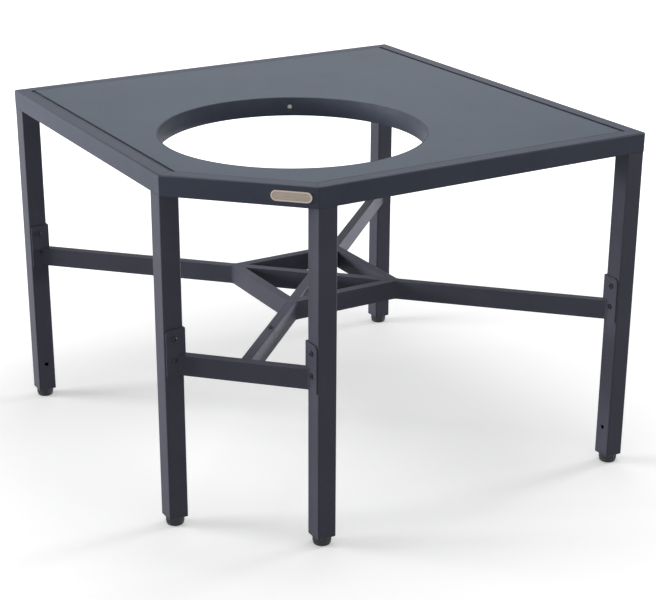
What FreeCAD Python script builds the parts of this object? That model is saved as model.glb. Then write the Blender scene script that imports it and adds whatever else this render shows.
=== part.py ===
import FreeCAD, Part
import math
import os
import Sketcher

# Kamado grill table: a five-sided corner table of welded steel on five square legs.
# Its plan is a square with the front corner cut off. The long sides lie along X and Y,
# the cut corner is at low X and low Y, and +Z is up. The origin is on the floor under
# the middle of the square. All sizes are in millimetres.

document = FreeCAD.newDocument("KamadoTable")
sheet = document.addObject("Spreadsheet::Sheet", "Sizes")

# Driving dimensions: alias, value, what it measures
sizes = [
    ("side_length", 960, "outer side of the square plan"),
    ("cut_edge", 300, "length of the cut front edge"),
    ("table_height", 725, "floor to the top face"),
    ("frame_depth", 40, "height of the top frame's rails"),
    ("frame_strip", 28, "width of a rail, seen from above"),
    ("frame_wall", 2, "wall of a rail"),
    ("frame_round", 3, "rounding of a rail's outer top edge"),
    ("panel_thickness", 3, "sheet of the top panel"),
    ("panel_joint", 0.5, "tight joint between the panel and the front and rear rails"),
    ("panel_groove", 9, "open groove between the panel and the two side rails"),
    ("ledge_width", 26, "width of the flat bars that carry the panel"),
    ("ledge_thickness", 3, "thickness of the flat bars that carry the panel"),
    ("grill_opening", 535, "clear diameter of the collar"),
    ("collar_depth", 40, "height of the collar"),
    ("collar_wall", 2, "wall of the collar"),
    ("weld_gap", 0.1, "gap between the collar and the panel before welding"),
    ("collar_screw_angle", 62, "direction of the rear collar screw in plan, degrees"),
    ("collar_screw_count", 3, "screws around the collar"),
    ("screw_shank", 5, "shank of a collar screw"),
    ("screw_head_width", 9.5, "diameter of a collar screw's low head"),
    ("screw_head_height", 1.2, "height of a collar screw's low head"),
    ("screw_length", 9, "length of a collar screw under its head"),
    ("screw_nut_width", 8, "width across flats of a collar nut"),
    ("screw_nut_height", 4, "height of a collar nut"),
    ("screw_seat", 0.05, "gap under a collar screw's head, which sits on the curved wall"),
    ("badge_length", 77, "length of the blank badge plate"),
    ("badge_height", 20, "height of the blank badge plate"),
    ("badge_thickness", 2, "thickness of the blank badge plate"),
    ("badge_rim", 2.5, "width of the raised rim round the badge"),
    ("badge_recess", 0.6, "depth of the field inside the rim"),
    ("badge_from_corner", 50, "badge centre to the front right corner"),
    ("leg_width", 40, "outer side of a leg tube"),
    ("leg_wall", 2, "wall of a leg tube"),
    ("leg_round", 3, "outer corner radius of a leg tube"),
    ("socket_length", 45, "length of the spigot that locates a leg"),
    ("socket_wall", 2.5, "wall of the spigot"),
    ("socket_clearance", 0.2, "gap between the spigot and the inside of the leg"),
    ("gusset_length", 62, "length of a corner gusset along each rail"),
    ("gusset_thickness", 4, "thickness of a corner gusset"),
    ("link_hole", 9, "diameter of the hole near the foot of two legs"),
    ("link_height", 60, "height of that hole above the end of the tube"),
    ("brace_level", 325, "floor to the underside of the lower frame"),
    ("bar_width", 20, "width of a bar of the lower frame"),
    ("bar_height", 40, "height of a bar of the lower frame"),
    ("bar_wall", 1.5, "wall of a bar of the lower frame"),
    ("cradle_side", 270, "outer side of the square cradle"),
    ("splice_at", 160, "splice of the stem, from the middle of the front crossbar"),
    ("splice_gap", 0.6, "open joint at the splice of the stem"),
    ("splice_length", 110, "length of the sleeve inside the stem"),
    ("splice_clearance", 0.2, "gap between the sleeve and the inside of the stem"),
    ("splice_bolt_at", 171, "bolt of the splice, from the middle of the front crossbar"),
    ("plate_thickness", 3, "thickness of an angle bracket"),
    ("bracket_height", 95, "height of an angle bracket"),
    ("bracket_wing", 40, "outer width of each wing of a bracket"),
    ("bracket_round", 9, "rounding of the upper outer corners of a wing"),
    ("first_bolt", 31, "lower bolt above the bracket's lower end"),
    ("bolt_pitch", 45, "distance between the two bolts of a wing"),
    ("bolt_hole", 6.6, "clearance hole of a bolt"),
    ("bolt_shank", 6, "shank of a bolt"),
    ("bolt_length", 14, "length of a bolt under its head"),
    ("head_width", 11, "diameter of a bolt's button head"),
    ("head_height", 3.3, "height of a bolt's button head"),
    ("socket_key", 4, "width across flats of the bolt's hexagon socket"),
    ("key_depth", 2, "depth of the bolt's hexagon socket"),
    ("nut_width", 10, "width across flats of a weld nut"),
    ("nut_height", 5, "height of a weld nut"),
    ("thread_gap", 0.05, "radial gap of a thread that is drawn plain"),
    ("sole_diameter", 35, "diameter of a foot's sole"),
    ("sole_height", 6, "height of a foot's sole"),
    ("sole_round", 3, "rounding of the sole's lower edge"),
    ("knob_diameter", 37, "diameter of a foot's hand wheel"),
    ("knob_height", 12, "height of a foot's hand wheel"),
    ("knob_round", 1, "rounding of the hand wheel's edges"),
    ("boss_diameter", 14, "diameter of the hand wheel's boss in the sole"),
    ("boss_height", 3, "height of the hand wheel's boss"),
    ("boss_gap", 0.3, "gap under the boss"),
    ("stud_diameter", 10, "diameter of a foot's stud"),
    ("stud_length", 40, "length of the stud above the hand wheel"),
    ("home_gap", 0.5, "gap between a foot screwed home and the leg's end plug"),
    ("running_gap", 0.05, "radial gap of the stud and of the boss"),
    ("flange_thickness", 3, "flange of the plug in the end of a leg"),
    ("plug_length", 18, "length of the plug inside the leg"),
    ("plug_clearance", 0.2, "gap between the plug and the inside of the leg"),
]
for row, (alias, value, meaning) in enumerate(sizes, start=1):
    sheet.set(f"A{row}", alias)
    sheet.set(f"B{row}", str(value))
    sheet.set(f"C{row}", meaning)
    sheet.setAlias(f"B{row}", alias)
document.recompute()

# Lengths that follow from the driving dimensions, as text for expressions
half_side = "Sizes.side_length / 2"
cut_leg = "Sizes.cut_edge / sqrt(2)"
opening_centre = f"({cut_leg}) / (2 - sqrt(2)) - {half_side}"
frame_level = "Sizes.table_height - Sizes.frame_depth"
tube_level = "Sizes.sole_height + Sizes.knob_height + Sizes.home_gap + Sizes.flange_thickness"
half_leg = "Sizes.leg_width / 2"
half_bar = "Sizes.bar_width / 2"
cradle_near = "(Sizes.side_length - Sizes.cradle_side) / 2"
gentle = "tan(22.5)"
nodes = []


def number(expression):
    """Gives the value of an expression on the sheet."""
    value = sheet.evalExpression(expression)
    return float(getattr(value, "Value", value))


def finish(item, label):
    """Gives a sub-part the label that names its file and lists it for export."""
    item.Label = label
    nodes.append(item)
    return item


def place(item, across, along, up, turn=0):
    """Puts a sub-part's own origin at a point of the table and turns it about Z."""
    spin = FreeCAD.Rotation(FreeCAD.Vector(0, 0, 1), turn)
    item.Placement = FreeCAD.Placement(FreeCAD.Vector(0, 0, 0), spin)
    for letter, expression in (("x", across), ("y", along), ("z", up)):
        item.setExpression(f"Placement.Base.{letter}", expression)


def start_sketch(body, name, role, level="0"):
    """Starts a sketch on one of the body's origin planes, raised by a level."""
    plane = next(item for item in body.Origin.OriginFeatures if item.Role == role)
    sketch = body.newObject("Sketcher::SketchObject", name)
    sketch.AttachmentSupport = [(plane, "")]
    sketch.MapMode = "FlatFace"
    sketch.setExpression("AttachmentOffset.Base.z", level)
    return sketch


def hold(sketch, geometry, vertex, across, up):
    """Ties one point of a sketch to two expressions, measured from its origin."""
    for kind, axis, expression in (("DistanceX", -2, across), ("DistanceY", -1, up)):
        value = number(expression)
        if abs(value) < 1e-9 and expression == "0":
            sketch.addConstraint(Sketcher.Constraint("PointOnObject", geometry, vertex, axis))
        else:
            index = sketch.addConstraint(Sketcher.Constraint(kind, -1, 1, geometry, vertex, value))
            sketch.setExpression(f"Constraints[{index}]", expression)


def draw_outline(sketch, points):
    """Draws a closed outline of straight lines through points given as expressions."""
    spots = [FreeCAD.Vector(number(across), number(up), 0) for across, up in points]
    count = len(spots)
    lines = [
        sketch.addGeometry(Part.LineSegment(spots[i], spots[(i + 1) % count])) for i in range(count)
    ]
    for i in range(count):
        sketch.addConstraint(
            Sketcher.Constraint("Coincident", lines[i], 2, lines[(i + 1) % count], 1)
        )
    for line, (across, up) in zip(lines, points):
        hold(sketch, line, 1, across, up)


def draw_circle(sketch, across, up, diameter):
    """Draws a circle whose centre and diameter follow expressions."""
    centre = FreeCAD.Vector(number(across), number(up), 0)
    ring = sketch.addGeometry(Part.Circle(centre, FreeCAD.Vector(0, 0, 1), number(diameter) / 2))
    hold(sketch, ring, 3, across, up)
    index = sketch.addConstraint(Sketcher.Constraint("Diameter", ring, number(diameter)))
    sketch.setExpression(f"Constraints[{index}]", diameter)


def pad(body, sketch, length):
    """Raises a sketch into a solid."""
    feature = body.newObject("PartDesign::Pad", sketch.Name + "Pad")
    feature.Profile = sketch
    feature.setExpression("Length", length)
    document.recompute()
    return feature


def pocket(body, sketch, length, forward=True):
    """Cuts a sketch out of the body, along its normal or against it."""
    before = body.Shape.Volume
    feature = body.newObject("PartDesign::Pocket", sketch.Name + "Pocket")
    feature.Profile = sketch
    feature.Reversed = forward
    feature.setExpression("Length", length)
    document.recompute()
    if not body.Shape.Volume < before:
        raise RuntimeError(f"{body.Name}: {feature.Name} cuts nothing")
    return feature


def revolve(body, sketch):
    """Turns a half section about the body's own Z axis."""
    feature = body.newObject("PartDesign::Revolution", sketch.Name + "Turned")
    feature.Profile = sketch
    feature.ReferenceAxis = (sketch, ["V_Axis"])
    feature.Angle = 360
    document.recompute()
    return feature


def round_edges(body, base, wanted, radius):
    """Rounds the edges of a feature whose two ends both pass a test."""
    names = [
        f"Edge{i}"
        for i, edge in enumerate(base.Shape.Edges, start=1)
        if all(wanted(vertex.Point) for vertex in edge.Vertexes)
    ]
    if not names:
        raise RuntimeError(f"{body.Name}: no edge to round")
    feature = body.newObject("PartDesign::Fillet", base.Name + "Round")
    feature.Base = (base, names)
    feature.setExpression("Radius", radius)
    document.recompute()
    return feature


def near(value, expression):
    """Says whether a coordinate lies at an expression's value."""
    return abs(value - number(expression)) < 1e-6


def hollow_bar(name, outline, length, width, height, wall):
    """Makes a box-section bar from its plan outline, hollow along its whole length."""
    body = document.addObject("PartDesign::Body", name)
    draw_outline(start_sketch(body, name + "Outline", "XY_Plane"), outline)
    pad(body, body.Group[-1], height)
    core = start_sketch(body, name + "Core", "XY_Plane", wall)
    inner = f"{width} - {wall}"
    draw_outline(core, [("0", wall), (length, wall), (length, inner), ("0", inner)])
    pocket(body, core, f"{height} - 2 * {wall}")
    return body


def mitred_outline(length, near_edge, far_edge, start_slope, end_slope):
    """Gives the plan of a bar between two lines beside one side, mitred at both ends."""
    return [
        (f"({near_edge}) * {start_slope}" if near_edge != "0" else "0", near_edge),
        (f"{length} - ({near_edge}) * {end_slope}", near_edge),
        (f"{length} - ({far_edge}) * {end_slope}", far_edge),
        (f"({far_edge}) * {start_slope}", far_edge),
    ]


# The five sides of the top, anticlockwise from the front right corner: where each side
# starts, its direction, its length and the slopes of its two mitres
front_x = f"{cut_leg} - {half_side}"
low = f"-{half_side}"
short_side = f"(Sizes.side_length - {cut_leg})"
sides = [
    ("right", front_x, low, 0, short_side, gentle, "1"),
    ("back_right", half_side, low, 90, "Sizes.side_length", "1", "1"),
    ("back_left", half_side, half_side, 180, "Sizes.side_length", "1", "1"),
    ("left", low, half_side, 270, short_side, "1", gentle),
    ("front", low, front_x, 315, "Sizes.cut_edge", gentle, gentle),
]

# Rails of the top frame
for name, x, y, turn, length, start_slope, end_slope in sides:
    outline = mitred_outline(length, "0", "Sizes.frame_strip", start_slope, end_slope)
    rail = document.addObject("PartDesign::Body", "Rail_" + name)
    draw_outline(start_sketch(rail, f"Rail_{name}Outline", "XY_Plane"), outline)
    raised = pad(rail, rail.Group[-1], "Sizes.frame_depth")
    round_edges(
        rail,
        raised,
        lambda point: near(point.y, "0") and near(point.z, "Sizes.frame_depth"),
        "Sizes.frame_round",
    )
    core = start_sketch(rail, f"Rail_{name}Core", "XY_Plane", "Sizes.frame_wall")
    wall = "Sizes.frame_wall"
    inner = "Sizes.frame_strip - Sizes.frame_wall"
    draw_outline(core, [("0", wall), (length, wall), (length, inner), ("0", inner)])
    pocket(rail, core, "Sizes.frame_depth - 2 * Sizes.frame_wall")
    place(rail, x, y, frame_level, turn)
    finish(rail, "frame_rail_" + name)

# Flat bars welded inside the rails, which carry the panel
ledge_level = "Sizes.table_height - Sizes.panel_thickness - Sizes.ledge_thickness"
ledges = []
for name, x, y, turn, length, start_slope, end_slope in sides:
    outer_line = "Sizes.frame_strip"
    inner_line = "Sizes.frame_strip + Sizes.ledge_width"
    ledge = document.addObject("PartDesign::Body", "Ledge_" + name)
    sketch = start_sketch(ledge, f"Ledge_{name}Outline", "XY_Plane")
    draw_outline(sketch, mitred_outline(length, outer_line, inner_line, start_slope, end_slope))
    pad(ledge, sketch, "Sizes.ledge_thickness")
    place(ledge, x, y, ledge_level, turn)
    ledges.append(ledge)
document.recompute()
ledge_set = document.addObject("Part::Compound", "PanelLedges")
ledge_set.Links = ledges
finish(ledge_set, "panel_ledges")

# Top panel with its round opening. It is drawn from the missing corner of the square.
side_inset = "Sizes.frame_strip + Sizes.panel_groove"
tight_inset = "Sizes.frame_strip + Sizes.panel_joint"
far_side = f"Sizes.side_length - {side_inset.replace(' + ', ' - ')}"
far_tight = f"Sizes.side_length - {tight_inset.replace(' + ', ' - ')}"
cut_line = f"({cut_leg} + ({tight_inset}) * sqrt(2))"
panel = document.addObject("PartDesign::Body", "TopPanel")
sketch = start_sketch(panel, "TopPanelOutline", "XY_Plane")
draw_outline(
    sketch,
    [
        (f"{cut_line} - ({tight_inset})", tight_inset),
        (far_side, tight_inset),
        (far_side, far_tight),
        (side_inset, far_tight),
        (side_inset, f"{cut_line} - ({side_inset})"),
    ],
)
from_corner = f"{opening_centre} + {half_side}"
panel_hole = "Sizes.grill_opening + 2 * Sizes.collar_wall + 2 * Sizes.weld_gap"
draw_circle(sketch, from_corner, from_corner, panel_hole)
pad(panel, sketch, "Sizes.panel_thickness")
place(panel, low, low, "Sizes.table_height - Sizes.panel_thickness")
finish(panel, "top_panel")

# Collar that lines the opening, flush with the top, with holes for its screws
collar = document.addObject("PartDesign::Body", "Collar")
sketch = start_sketch(collar, "CollarSection", "XZ_Plane")
inside = "Sizes.grill_opening / 2"
outside = f"{inside} + Sizes.collar_wall"
draw_outline(
    sketch,
    [(inside, "0"), (outside, "0"), (outside, "Sizes.collar_depth"), (inside, "Sizes.collar_depth")],
)
revolve(collar, sketch)
screw_level = "Sizes.collar_depth / 2"
hole = start_sketch(collar, "CollarHole", "YZ_Plane", f"{inside} - Sizes.collar_wall")
draw_circle(hole, "0", screw_level, "Sizes.screw_shank + 2 * Sizes.thread_gap")
drilled = pocket(collar, hole, "3 * Sizes.collar_wall")
ring = collar.newObject("PartDesign::PolarPattern", "CollarHoles")
ring.Originals = [drilled]
ring.Axis = (sketch, ["V_Axis"])
ring.Angle = 360
ring.setExpression("Occurrences", "Sizes.collar_screw_count")
collar.Tip = ring
document.recompute()
place(collar, opening_centre, opening_centre, "Sizes.table_height - Sizes.collar_depth")
spin = FreeCAD.Rotation(FreeCAD.Vector(0, 0, 1), number("Sizes.collar_screw_angle"))
collar.Placement.Rotation = spin
finish(collar, "kamado_collar")

# Patterns for the fasteners, drawn once: the head lies below Z = 0 and the shank above
fastener = document.addObject("PartDesign::Body", "BracketBolt")
sketch = start_sketch(fastener, "BracketBoltSection", "XZ_Plane")
shank_radius = "Sizes.bolt_shank / 2"
bolt_top = "Sizes.head_height + Sizes.bolt_length"
draw_outline(
    sketch,
    [
        ("0", "0"),
        ("Sizes.head_width / 3", "0"),
        ("Sizes.head_width / 2", "Sizes.head_height * 0.6"),
        ("Sizes.head_width / 2", "Sizes.head_height"),
        (shank_radius, "Sizes.head_height"),
        (shank_radius, bolt_top),
        ("0", bolt_top),
    ],
)
revolve(fastener, sketch)


def hexagon(flats):
    """Gives the corners of a hexagon about the origin, from its width across flats."""
    return [
        (f"{flats} / sqrt(3) * cos({60 * i})", f"{flats} / sqrt(3) * sin({60 * i})")
        for i in range(6)
    ]


key = start_sketch(fastener, "BracketBoltKey", "XY_Plane")
draw_outline(key, hexagon("Sizes.socket_key"))
pocket(fastener, key, "Sizes.key_depth")

weld_nut = document.addObject("PartDesign::Body", "WeldNut")
sketch = start_sketch(weld_nut, "WeldNutOutline", "XY_Plane")
draw_outline(sketch, hexagon("Sizes.nut_width"))
draw_circle(sketch, "0", "0", "Sizes.bolt_shank + 2 * Sizes.thread_gap")
pad(weld_nut, sketch, "Sizes.nut_height")

collar_screw = document.addObject("PartDesign::Body", "CollarScrew")
sketch = start_sketch(collar_screw, "CollarScrewSection", "XZ_Plane")
screw_tip = "Sizes.screw_head_height + Sizes.screw_length"
draw_outline(
    sketch,
    [
        ("0", "0"),
        ("Sizes.screw_head_width / 3", "0"),
        ("Sizes.screw_head_width / 2", "Sizes.screw_head_height * 0.6"),
        ("Sizes.screw_head_width / 2", "Sizes.screw_head_height"),
        ("Sizes.screw_shank / 2", "Sizes.screw_head_height"),
        ("Sizes.screw_shank / 2", screw_tip),
        ("0", screw_tip),
    ],
)
revolve(collar_screw, sketch)

collar_nut = document.addObject("PartDesign::Body", "CollarNut")
sketch = start_sketch(collar_nut, "CollarNutOutline", "XY_Plane")
draw_outline(sketch, hexagon("Sizes.screw_nut_width"))
draw_circle(sketch, "0", "0", "Sizes.screw_shank + 2 * Sizes.thread_gap")
pad(collar_nut, sketch, "Sizes.screw_nut_height")
document.recompute()


def group(label, template, spots):
    """Makes one node of several copies of a fastener, each turned and moved to its spot."""
    copies = []
    for frame in spots:
        copies.append(template.Shape.transformed(frame.toMatrix(), True))
    item = document.addObject("Part::Feature", label)
    item.Shape = Part.makeCompound(copies)
    return finish(item, label)


def aimed(origin, direction, lift=0.0):
    """Gives the placement that points a fastener's shank along a direction."""
    spin = FreeCAD.Rotation(FreeCAD.Vector(0, 0, 1), direction)
    return FreeCAD.Placement(origin + direction * lift, spin)


# Screws and nuts of the collar
collar_centre = FreeCAD.Vector(number(opening_centre), number(opening_centre), 0)
screw_height = number("Sizes.table_height - Sizes.collar_depth / 2")
head_lift = "Sizes.screw_head_height + Sizes.screw_seat"
screw_spots = []
nut_spots = []
for index in range(round(number("Sizes.collar_screw_count"))):
    step = 360 * index / number("Sizes.collar_screw_count")
    angle = math.radians(number("Sizes.collar_screw_angle") + step)
    outward = FreeCAD.Vector(math.cos(angle), math.sin(angle), 0)
    wall_inside = collar_centre + outward * number(inside)
    wall_inside.z = screw_height
    screw_spots.append(aimed(wall_inside, outward, -number(head_lift)))
    nut_spots.append(aimed(wall_inside, outward, number("Sizes.collar_wall")))
group("collar_screws", collar_screw, screw_spots)
group("collar_nuts", collar_nut, nut_spots)

# Blank badge plate on the front rail, with a raised rim and a bare field
badge = document.addObject("PartDesign::Body", "Badge")


def draw_slot(sketch, length, height):
    """Draws a slot about the sketch's origin with full round ends."""
    reach = (number(length) - number(height)) / 2
    radius = number(height) / 2
    ends = []
    for sign in (1, -1):
        centre = FreeCAD.Vector(sign * reach, 0, 0)
        arc = Part.Arc(
            centre + FreeCAD.Vector(0, -sign * radius, 0),
            centre + FreeCAD.Vector(sign * radius, 0, 0),
            centre + FreeCAD.Vector(0, sign * radius, 0),
        )
        ends.append(sketch.addGeometry(arc))
    lines = []
    for sign in (1, -1):
        begin = FreeCAD.Vector(sign * reach, sign * radius, 0)
        end = FreeCAD.Vector(-sign * reach, sign * radius, 0)
        lines.append(sketch.addGeometry(Part.LineSegment(begin, end)))
    for arc, before, after in ((0, 1, 0), (1, 0, 1)):
        sketch.addConstraint(Sketcher.Constraint("Tangent", ends[arc], 2, lines[after], 1))
        sketch.addConstraint(Sketcher.Constraint("Tangent", lines[before], 2, ends[arc], 1))
    hold(sketch, ends[0], 3, f"({length} - {height}) / 2", "0")
    sketch.addConstraint(Sketcher.Constraint("Equal", ends[0], ends[1]))
    sketch.addConstraint(Sketcher.Constraint("Symmetric", ends[0], 3, ends[1], 3, -1, 1))
    index = sketch.addConstraint(Sketcher.Constraint("Radius", ends[0], radius))
    sketch.setExpression(f"Constraints[{index}]", f"{height} / 2")


sketch = start_sketch(badge, "BadgeOutline", "XZ_Plane")
draw_slot(sketch, "Sizes.badge_length", "Sizes.badge_height")
pad(badge, sketch, "Sizes.badge_thickness")
rim = "2 * Sizes.badge_rim"
field = start_sketch(
    badge, "BadgeField", "XZ_Plane", "Sizes.badge_thickness - Sizes.badge_recess"
)
draw_slot(field, f"(Sizes.badge_length - {rim})", f"(Sizes.badge_height - {rim})")
pocket(badge, field, "2 * Sizes.badge_recess")
badge_run = "(Sizes.cut_edge - Sizes.badge_from_corner) / sqrt(2)"
place(
    badge,
    f"{low} + {badge_run}",
    f"{front_x} - {badge_run}",
    f"{frame_level} + Sizes.frame_depth / 2",
    315,
)
finish(badge, "badge_plate")

# The five corners: the leg's centre, the turn that faces its inner corner to the middle
# of the table, and the signs of that inner corner
corners = [
    ("left", f"{half_leg} - {half_side}", f"{half_side} - {half_leg}", 90, 1, -1),
    ("front_left", f"{half_leg} - {half_side}", f"{front_x} + {half_leg}", 90, 1, -1),
    ("front_right", f"{front_x} + {half_leg}", f"{half_leg} - {half_side}", 270, -1, 1),
    ("right", f"{half_side} - {half_leg}", f"{half_leg} - {half_side}", 270, -1, 1),
    ("back", f"{half_side} - {half_leg}", f"{half_side} - {half_leg}", 0, -1, -1),
]
leg_square = [
    ("0", "0"),
    ("Sizes.leg_width", "0"),
    ("Sizes.leg_width", "Sizes.leg_width"),
    ("0", "Sizes.leg_width"),
]


def inset_square(inset):
    """Gives a square inside the leg's outline, an inset away from it."""
    far = f"Sizes.leg_width - ({inset})"
    return [(inset, inset), (far, inset), (far, far), (inset, far)]


def is_corner(point):
    """Says whether a point lies over a corner of the leg's outline."""
    return all(near(value, "0") or near(value, "Sizes.leg_width") for value in (point.x, point.y))


def drill_wall(body, name, role, heights, diameter, depth, forward):
    """Drills holes on the middle line of one of the two inner faces of a leg or bracket."""
    sketch = start_sketch(body, name, role)
    for middle, height in heights:
        draw_circle(sketch, middle, height, diameter)
    pocket(body, sketch, depth, forward)


def inner_corner(corner, outset="0"):
    """Gives the place of a leg's inner corner, or of a point further towards the middle."""
    sign_x, sign_y = corner[4:]
    across = f"{corner[1]} + ({sign_x}) * ({half_leg} + {outset})"
    along = f"{corner[2]} + ({sign_y}) * ({half_leg} + {outset})"
    return across, along


# Legs, with holes for the brackets' bolts and, on two of them, the link hole
lower_bolt = f"Sizes.brace_level + Sizes.first_bolt - ({tube_level})"
upper_bolt = f"{lower_bolt} + Sizes.bolt_pitch"
leg_length = f"{frame_level} - ({tube_level})"
for corner in corners:
    name, x, y, turn, sign_x, sign_y = corner
    leg = document.addObject("PartDesign::Body", "Leg_" + name)
    sketch = start_sketch(leg, f"Leg_{name}Outline", "XY_Plane")
    draw_outline(sketch, leg_square)
    tube = pad(leg, sketch, leg_length)
    upright = [
        f"Edge{i}"
        for i, edge in enumerate(tube.Shape.Edges, start=1)
        if abs(edge.Vertexes[0].Z - edge.Vertexes[1].Z) > 1 and is_corner(edge.Vertexes[0].Point)
    ]
    rounded = leg.newObject("PartDesign::Fillet", f"Leg_{name}Round")
    rounded.Base = (tube, upright)
    rounded.setExpression("Radius", "Sizes.leg_round")
    document.recompute()
    bore = start_sketch(leg, f"Leg_{name}Bore", "XY_Plane")
    draw_outline(bore, inset_square("Sizes.leg_wall"))
    pocket(leg, bore, leg_length)
    bolt_heights = [(half_leg, lower_bolt), (half_leg, upper_bolt)]
    drill = "2 * Sizes.leg_wall"
    drill_wall(leg, f"Leg_{name}HolesX", "XZ_Plane", bolt_heights, "Sizes.bolt_hole", drill, False)
    drill_wall(leg, f"Leg_{name}HolesY", "YZ_Plane", bolt_heights, "Sizes.bolt_hole", drill, True)
    link = [(half_leg, "Sizes.link_height")]
    if name == "left":
        drill_wall(leg, "LinkLeft", "YZ_Plane", link, "Sizes.link_hole", drill, True)
    if name == "right":
        drill_wall(leg, "LinkRight", "XZ_Plane", link, "Sizes.link_hole", drill, False)
    place(leg, *inner_corner(corner), tube_level, turn)
    finish(leg, "leg_" + name)

# Corner sockets: a gusset in the corner of the top frame and a spigot inside the leg
inside_leg = "(Sizes.leg_width - Sizes.frame_strip)"
gentle_shift = f"(Sizes.frame_strip * {gentle})"
slant = "Sizes.gusset_length / sqrt(2)"
gussets = {
    "square": [
        (inside_leg, inside_leg),
        (f"{inside_leg} - Sizes.gusset_length", inside_leg),
        (inside_leg, f"{inside_leg} - Sizes.gusset_length"),
    ],
    "front_left": [
        (gentle_shift, inside_leg),
        (f"{gentle_shift} + Sizes.gusset_length", inside_leg),
        (f"{gentle_shift} - {slant}", f"{inside_leg} - {slant}"),
    ],
    "front_right": [
        (inside_leg, gentle_shift),
        (inside_leg, f"{gentle_shift} + Sizes.gusset_length"),
        (f"{inside_leg} - {slant}", f"{gentle_shift} - {slant}"),
    ],
}
socket_inset = "Sizes.leg_wall + Sizes.socket_clearance"
for corner in corners:
    name, x, y, turn, sign_x, sign_y = corner
    socket = document.addObject("PartDesign::Body", "Socket_" + name)
    sketch = start_sketch(socket, f"Socket_{name}Spigot", "XY_Plane")
    draw_outline(sketch, inset_square(socket_inset))
    pad(socket, sketch, "Sizes.socket_length")
    plate = start_sketch(socket, f"Socket_{name}Gusset", "XY_Plane", "Sizes.socket_length")
    draw_outline(plate, gussets.get(name, gussets["square"]))
    pad(socket, plate, "Sizes.gusset_thickness")
    bore = start_sketch(socket, f"Socket_{name}Bore", "XY_Plane")
    draw_outline(bore, inset_square(f"{socket_inset} + Sizes.socket_wall"))
    pocket(socket, bore, "Sizes.socket_length")
    place(socket, *inner_corner(corner), f"{frame_level} - Sizes.socket_length", turn)
    finish(socket, "corner_socket_" + name)

# Feet: end plug in the leg, sole on the floor, and hand wheel with its stud between them
thread_bore = "Sizes.stud_diameter + 2 * Sizes.running_gap"
plug_inset = "Sizes.leg_wall + Sizes.plug_clearance"
for corner in corners:
    name, x, y, turn, sign_x, sign_y = corner
    plug = document.addObject("PartDesign::Body", "Plug_" + name)
    sketch = start_sketch(plug, f"Plug_{name}Flange", "XY_Plane")
    draw_outline(sketch, leg_square)
    flange = pad(plug, sketch, "Sizes.flange_thickness")
    upright = [
        f"Edge{i}"
        for i, edge in enumerate(flange.Shape.Edges, start=1)
        if abs(edge.Vertexes[0].Z - edge.Vertexes[1].Z) > 1 and is_corner(edge.Vertexes[0].Point)
    ]
    rounded = plug.newObject("PartDesign::Fillet", f"Plug_{name}Round")
    rounded.Base = (flange, upright)
    rounded.setExpression("Radius", "Sizes.leg_round")
    document.recompute()
    sketch = start_sketch(plug, f"Plug_{name}Body", "XY_Plane", "Sizes.flange_thickness")
    draw_outline(sketch, inset_square(plug_inset))
    pad(plug, sketch, "Sizes.plug_length")
    bore = start_sketch(plug, f"Plug_{name}Bore", "XY_Plane")
    draw_circle(bore, half_leg, half_leg, thread_bore)
    pocket(plug, bore, "Sizes.flange_thickness + Sizes.plug_length")
    place(plug, *inner_corner(corner), f"{tube_level} - Sizes.flange_thickness", turn)
    finish(plug, "leg_plug_" + name)

    sole = document.addObject("PartDesign::Body", "Sole_" + name)
    sketch = start_sketch(sole, f"Sole_{name}Section", "XZ_Plane")
    sole_edge = "Sizes.sole_diameter / 2"
    recess = "Sizes.boss_diameter / 2 + Sizes.running_gap"
    recess_floor = "Sizes.sole_height - Sizes.boss_height - Sizes.boss_gap"
    draw_outline(
        sketch,
        [
            ("0", "0"),
            (sole_edge, "0"),
            (sole_edge, "Sizes.sole_height"),
            (recess, "Sizes.sole_height"),
            (recess, recess_floor),
            ("0", recess_floor),
        ],
    )
    turned = revolve(sole, sketch)
    rim_test = lambda point: near(math.hypot(point.x, point.y), sole_edge) and near(point.z, "0")
    round_edges(sole, turned, rim_test, "Sizes.sole_round")
    place(sole, x, y, "0")
    finish(sole, "foot_sole_" + name)

    knob = document.addObject("PartDesign::Body", "Knob_" + name)
    sketch = start_sketch(knob, f"Knob_{name}Section", "XZ_Plane")
    knob_edge = "Sizes.knob_diameter / 2"
    knob_top = "Sizes.boss_height + Sizes.knob_height"
    stud_top = f"{knob_top} + Sizes.stud_length"
    draw_outline(
        sketch,
        [
            ("0", "0"),
            ("Sizes.boss_diameter / 2", "0"),
            ("Sizes.boss_diameter / 2", "Sizes.boss_height"),
            (knob_edge, "Sizes.boss_height"),
            (knob_edge, knob_top),
            ("Sizes.stud_diameter / 2", knob_top),
            ("Sizes.stud_diameter / 2", stud_top),
            ("0", stud_top),
        ],
    )
    turned = revolve(knob, sketch)
    wheel_rim = lambda point: near(math.hypot(point.x, point.y), knob_edge)
    round_edges(knob, turned, lambda p: wheel_rim(p) and near(p.z, knob_top), "Sizes.knob_round")
    place(knob, x, y, "Sizes.sole_height - Sizes.boss_height")
    finish(knob, "foot_screw_" + name)

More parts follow.
